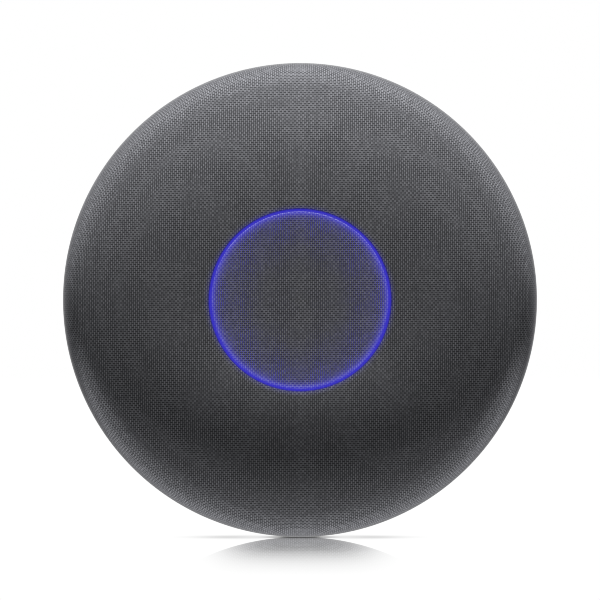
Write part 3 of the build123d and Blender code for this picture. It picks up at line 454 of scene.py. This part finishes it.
def front_outline(inset, hem):
    """Radius and height of the cloth's face from the centre to the end of its turned hem."""
    slope_shift = inset * (sqrt(2) - 1)
    floor = DISC_HEIGHT - GROOVE_DEPTH - inset
    slope_end = GROOVE_RADIUS - GROOVE_WIDTH - slope_shift
    lip = GROOVE_RADIUS + inset
    crown_start = asin(lip / (CROWN_ARC - inset))
    crown_end, shoulder_end = asin(CROWN_END_SLOPE), asin(SHOULDER_END_SLOPE)
    corners = [
        (0.0, DISC_HEIGHT - inset),
        (slope_end - GROOVE_DEPTH, DISC_HEIGHT - inset),
        (slope_end, floor),
        (lip, floor),
    ]
    crown = arc_points(0.0, CROWN_CENTRE, CROWN_ARC - inset, crown_start, crown_end)
    centre = SHOULDER_CENTRE_RADIUS, SHOULDER_CENTRE
    shoulder = arc_points(*centre, SHOULDER_ARC - inset, crown_end, shoulder_end)
    rim = arc_points(RIM_CENTRE_RADIUS, RIM_CENTRE, RIM_ARC - inset, shoulder_end, pi / 2)
    edge = [(SKIN_RADIUS - inset, EDGE_HEIGHT + inset), (SKIN_RADIUS - hem, EDGE_HEIGHT + inset)]
    return np.vstack([corners, crown, shoulder[1:], rim[1:], edge])


def evenly(points, step):
    """The same line with its points step apart."""
    lengths = np.concatenate([[0], np.cumsum(np.hypot(*np.diff(points, axis=0).T))])
    stations = np.linspace(0, lengths[-1], int(lengths[-1] / step) + 1)
    return np.column_stack([np.interp(stations, lengths, points[:, k]) for k in (0, 1)])


def softened(points, step, spread):
    """Rounds a line's corners as cloth does, by averaging each point with its neighbours."""
    even = evenly(points, step)
    reach = int(3 * spread / step)
    weights = np.exp(-0.5 * (np.arange(-reach, reach + 1) * step / spread) ** 2)
    weights /= weights.sum()
    mirrored = even[1 : reach + 1][::-1] * (-1, 1)
    tail = np.repeat(even[-1:], reach, axis=0)
    padded = np.vstack([mirrored, even, tail])
    smooth = np.column_stack([np.convolve(padded[:, k], weights, "valid") for k in (0, 1)])
    smooth[0, 0] = 0.0
    smooth[-1] = even[-1]
    return smooth


def thinned(points, turn, longest):
    """Keeps the points where the line has turned enough, or run far enough, since the last one kept."""
    kept = [0]
    steps = np.diff(points, axis=0)
    headings = np.unwrap(np.arctan2(steps[:, 1], steps[:, 0]))
    run = 0.0
    for index in range(1, len(points) - 1):
        run += np.hypot(*steps[index - 1])
        if abs(headings[index] - headings[kept[-1]]) > turn or run > longest:
            kept.append(index)
            run = 0.0
    kept.append(len(points) - 1)
    return points[kept]


def cloth_distance(points):
    """How far each point lies from the centre along the cloth, with the groove taken straight across."""
    radii, heights = points.T
    steps = np.hypot(*np.diff(points, axis=0).T)
    across = np.abs(np.diff(radii))
    past_lip = (radii[1:] > GROOVE_RADIUS) & (heights[1:] < LIP_HEIGHT)
    past_lip &= radii[:-1] > GROOVE_RADIUS + GROOVE_WIDTH
    return np.concatenate([[0], np.cumsum(np.where(past_lip, steps, across))])


def cloth_cover():
    """Turns the cloth's outer and inner faces about the disc's axis and closes them at the hem.

    Returns the piece and the radius that the cloth was cut to.
    """
    turns = 288
    step = 0.02 * MM
    outer = softened(front_outline(0.0, TURNED_HEM), step, spread=0.22 * MM)
    outer = thinned(outer, turn=radians(6), longest=1.2 * MM)
    inner = softened(front_outline(FABRIC, TURNED_HEM), step, spread=0.10 * MM)
    inner = thinned(inner, turn=radians(15), longest=2.6 * MM)
    angles = np.arange(turns) * 2 * pi / turns
    places, distances, faces = [], [], []

    def layer(line, outward):
        """Adds a face of the cloth: a fan at the centre, then rings of quads. Returns its last ring."""
        first = len(places)
        run = cloth_distance(line)
        places.append((0.0, -line[0, 1], 0.0))
        distances.append((0.0, 0.0, 0.0))
        for (radius, height), distance in zip(line[1:], run[1:]):
            for angle in angles:
                places.append((radius * cos(angle), -height, radius * sin(angle)))
                distances.append((distance * cos(angle), distance * sin(angle), 0.0))
        rings = len(line) - 1
        for index in range(turns):
            after = (index + 1) % turns
            fan = (first, first + 1 + index, first + 1 + after)
            faces.append(fan if outward else fan[::-1])
            for ring in range(rings - 1):
                low, high = first + 1 + ring * turns, first + 1 + (ring + 1) * turns
                quad = (low + index, high + index, high + after, low + after)
                faces.append(quad if outward else quad[::-1])
        return first + 1 + (rings - 1) * turns

    outer_end = layer(outer, True)
    inner_end = layer(inner, False)
    for index in range(turns):
        after = (index + 1) % turns
        faces.append((outer_end + index, inner_end + index, inner_end + after, outer_end + after))
    mesh = bpy.data.meshes.new("woven_cover")
    mesh.from_pydata(places, [], faces)
    mesh.attributes.new("weave", "FLOAT_VECTOR", "POINT").data.foreach_set("vector", np.ravel(distances))
    mesh.polygons.foreach_set("use_smooth", [True] * len(mesh.polygons))
    mesh.update()
    cover = bpy.data.objects.new("woven_cover", mesh)
    bpy.context.scene.collection.objects.link(cover)
    return cover, cloth_distance(front_outline(0.0, TURNED_HEM))[-1] + GROOVE_DEPTH


cover, cut_radius = cloth_cover()
cover.data.materials.append(woven_cloth())
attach(cover, "skin")
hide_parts("fabric_layer")

# ---------------------------------------------------------------- materials of the CAD pieces

finishes = {
    "dark_carrier": moulded("dark_carrier", (0.030, 0.030, 0.033), 0.55, depth=0.014 * MM),
    "light_window": lit_plastic("light_window", (0.55, 0.55, 0.75), 0.8),
    "white_housing": moulded("white_housing", (0.70, 0.70, 0.685), 0.42, mottle=0.02),
    "grey_bracket": moulded("grey_bracket", (0.50, 0.51, 0.52), 0.5, mottle=0.03),
    "light_guide": lit_plastic("light_guide", (0.70, 0.70, 0.90), 1.0),
    "reflector_white": moulded("reflector_white", (0.88, 0.88, 0.88), 0.25, depth=0.003 * MM),
    "circuit_board": circuit_board(),
    "led_package": lit_plastic("led_package", (0.80, 0.78, 0.60), 3.0),
    "steel_screw": metal("steel_screw", (0.55, 0.55, 0.56), 0.32, (1.0, 0.2, 1.0)),
    "ribbon_film": ribbon_film(),
    "connector_plastic": moulded("connector_plastic", (0.72, 0.68, 0.56), 0.45),
    "spreader_alloy": metal("spreader_alloy", (0.62, 0.62, 0.63), 0.45, grain=0.8 * MM),
    "thermal_pad": moulded("thermal_pad", (0.30, 0.40, 0.58), 0.8, mottle=0.08),
    "chip_black": moulded("chip_black", (0.018, 0.018, 0.019), 0.5, grain=0.12 * MM),
    "tinned_steel": metal("tinned_steel", (0.66, 0.66, 0.64), 0.35, (0.2, 1.0, 1.0)),
    "ferrite": moulded("ferrite", (0.035, 0.035, 0.038), 0.38, grain=0.4 * MM, depth=0.03 * MM),
    "capacitor_can": metal("capacitor_can", (0.60, 0.61, 0.63), 0.28, (1.0, 0.15, 1.0)),
    "nickel_shell": metal("nickel_shell", (0.62, 0.60, 0.56), 0.25, (1.0, 1.0, 0.2)),
    "jack_black": moulded("jack_black", (0.020, 0.020, 0.021), 0.4),
    "gold_contact": metal("gold_contact", (0.83, 0.60, 0.25), 0.22, (1.0, 1.0, 0.2)),
    "label_paper": paper_label(),
}
for part in frame["record"]["subparts"]:
    if part["material_slot"] in finishes:
        node = frame["nodes"][part["node"]]
        node.data.materials.clear()
        node.data.materials.append(finishes[part["material_slot"]])

# ---------------------------------------------------------------- floor and light

# How strong each source of light is at its brightest.
OVERHEAD, FLANKS, TABLE, STRIP, CARD, WALL = 3.65, 1.2, 1.2, 2.5, 0.83, 0.75
DIFFUSE_SHARE = 0.6  # part of the light that reaches a matt surface


def studio_world():
    """Pure white to the camera and to the floor's mirror; as light, a studio of broad soft sources.

    Each source is a hump over the directions it comes from: an overhead softbox that runs round the
    sides, a lit table below that is brightest straight down, a low strip and a soft card in front,
    and a wall behind.
    """
    world = bpy.data.worlds.new("studio")
    bpy.context.scene.world = world
    g = Graph(world)
    heading = g.node("ShaderNodeSeparateXYZ", {0: g.node("ShaderNodeTexCoord").outputs["Generated"]})
    x, y, z = heading.outputs
    sideways = g.math("MULTIPLY", x, x)
    before = g.ramp(y, -0.33, 0.0, 1.0, 0.0)

    overhead = g.math("MULTIPLY", g.math("POWER", g.math("MAXIMUM", z, 0.0), 1.40), OVERHEAD)
    flanks = g.math("MULTIPLY", g.math("MULTIPLY", sideways, FLANKS), g.ramp(z, -0.2, 0.36, smooth=True))
    depth = g.math("MAXIMUM", g.math("MULTIPLY", z, -1.0), 0.001)
    table_x = g.math("DIVIDE", x, g.math("MULTIPLY", depth, 4.1))
    table_reach = g.math("MULTIPLY", depth, g.ramp(y, -0.05, 0.05, 1.0, 1.65))
    table_y = g.math("DIVIDE", y, g.math("MULTIPLY", table_reach, g.math("MULTIPLY_ADD", sideways, 0.6, 1.0)))
    squares = g.math("ADD", g.math("POWER", table_x, 2.0), g.math("POWER", table_y, 2.0))
    from_middle = g.math("SQRT", squares)
    table = g.math("DIVIDE", TABLE, g.math("ADD", g.math("POWER", from_middle, 5.5), 1.0))
    table = g.math("MULTIPLY", table, g.math("LESS_THAN", z, 0.0))
    table = g.math("MULTIPLY", table, g.ramp(z, -1.0, -0.75, 1.28, 1.0))
    strip = g.math("MULTIPLY", g.bell(z, -0.24, 0.055), g.bell(x, 0.0, 0.29))
    strip = g.math("MULTIPLY", g.math("MULTIPLY", strip, STRIP), before)
    card = g.math("MULTIPLY", g.bell(z, -0.07, 0.255), g.bell(x, 0.0, 0.90))
    card = g.math("MULTIPLY", g.math("MULTIPLY", card, CARD), before)
    wall = g.math("MULTIPLY", g.math("POWER", g.math("MAXIMUM", y, 0.0), 2.0), WALL)
    total = overhead
    for source in (flanks, table, strip, card, wall):
        total = g.math("ADD", total, source)

    # Behind the disc everything is brighter, and most of all what is low.
    from_behind = g.ramp(y, 0.0, 0.3, 1.0, g.ramp(z, 0.0, 0.5, 1.5, 1.18))
    total = g.math("MULTIPLY", total, from_behind)

    path = g.node("ShaderNodeLightPath")
    plain = g.math("MAXIMUM", path.outputs["Is Camera Ray"], path.outputs["Is Singular Ray"])
    dimmer = g.ramp(path.outputs["Is Diffuse Ray"], 0.0, 1.0, 1.0, DIFFUSE_SHARE)
    total = g.math("MULTIPLY", total, dimmer)
    strength = g.node("ShaderNodeMix", {0: plain, 2: total, 3: 1.0}, data_type="FLOAT").outputs[0]
    shader = g.node("ShaderNodeBackground", {"Color": colour(1.0, 1.0, 1.0), "Strength": strength})
    g.node("ShaderNodeOutputWorld", {"Surface": shader.outputs[0]})


def studio_floor():
    """White table top that only the camera sees, so that it takes no part in lighting the object.

    It mirrors as polished acrylic does, more at a low angle, and the polish fades out towards the
    front. A soft round shadow is painted where the disc stands, and it is darkest at the contact.
    From below the floor is clear.
    """
    half = 8.0
    level = cad_low.z
    corners = [(-half, -half, level), (half, -half, level), (half, half, level), (-half, half, level)]
    mesh = bpy.data.meshes.new("floor")
    mesh.from_pydata(corners, [], [(0, 1, 2, 3)])
    floor = bpy.data.objects.new("floor", mesh)
    bpy.context.scene.collection.objects.link(floor)
    floor.visible_diffuse = floor.visible_glossy = floor.visible_transmission = floor.visible_shadow = False
    material, g = new_material("floor")
    geometry = g.node("ShaderNodeNewGeometry")
    place = g.node("ShaderNodeSeparateXYZ", {0: geometry.outputs["Position"]})
    away = g.math("ABSOLUTE", g.math("ADD", place.outputs[1], RIM_CENTRE))
    levels = [(0.0, 0.97), (0.24, 0.88), (0.45, 0.52), (0.64, 0.22), (0.82, 0.07), (1.0, 0.0)]
    fade = g.curve(g.ramp(away, 0.0, 0.6), levels)
    polish = g.math("MULTIPLY", fade, g.node("ShaderNodeFresnel", {"IOR": 1.45}).outputs[0])
    polish = g.math("MULTIPLY", polish, g.bell(place.outputs[0], 0.0, 25.0 * MM, 4.0))
    beside = g.math("MULTIPLY", place.outputs[0], 1.0 / (29.0 * MM))
    before = g.math("MULTIPLY", away, 1.0 / (34.0 * MM))
    squares = g.math("ADD", g.math("POWER", g.math("ABSOLUTE", beside), 2.0), g.math("POWER", before, 2.0))
    from_foot = g.math("SQRT", squares)
    # Painted shadow: the floor's white is dimmed in a soft round patch at the disc's foot.
    painted_shadow = g.bell(from_foot, 0.0, 1.0, 3.0)
    white = g.node("ShaderNodeEmission", {"Strength": g.ramp(painted_shadow, 0.0, 1.0, 1.02, 0.2)})
    mirror = g.node("ShaderNodeBsdfGlossy", {"Color": colour(1.0, 1.0, 1.0), "Roughness": 0.0})
    open_top = g.node("ShaderNodeMixShader", {0: polish, 1: white.outputs[0], 2: mirror.outputs[0]})
    # Painted contact shadow: a small patch of near black right at the foot.
    painted_contact_shadow = g.bell(from_foot, 0.0, 0.42, 4.0)
    dark = g.node("ShaderNodeEmission", {"Strength": 0.06})
    top = g.node("ShaderNodeMixShader", {0: painted_contact_shadow, 1: open_top.outputs[0], 2: dark.outputs[0]})
    clear = g.node("ShaderNodeBsdfTransparent")
    sides = {0: geometry.outputs["Backfacing"], 1: top.outputs[0], 2: clear.outputs[0]}
    both = g.node("ShaderNodeMixShader", sides)
    g.node("ShaderNodeOutputMaterial", {"Surface": both.outputs[0]})
    mesh.materials.append(material)


studio_world()
studio_floor()
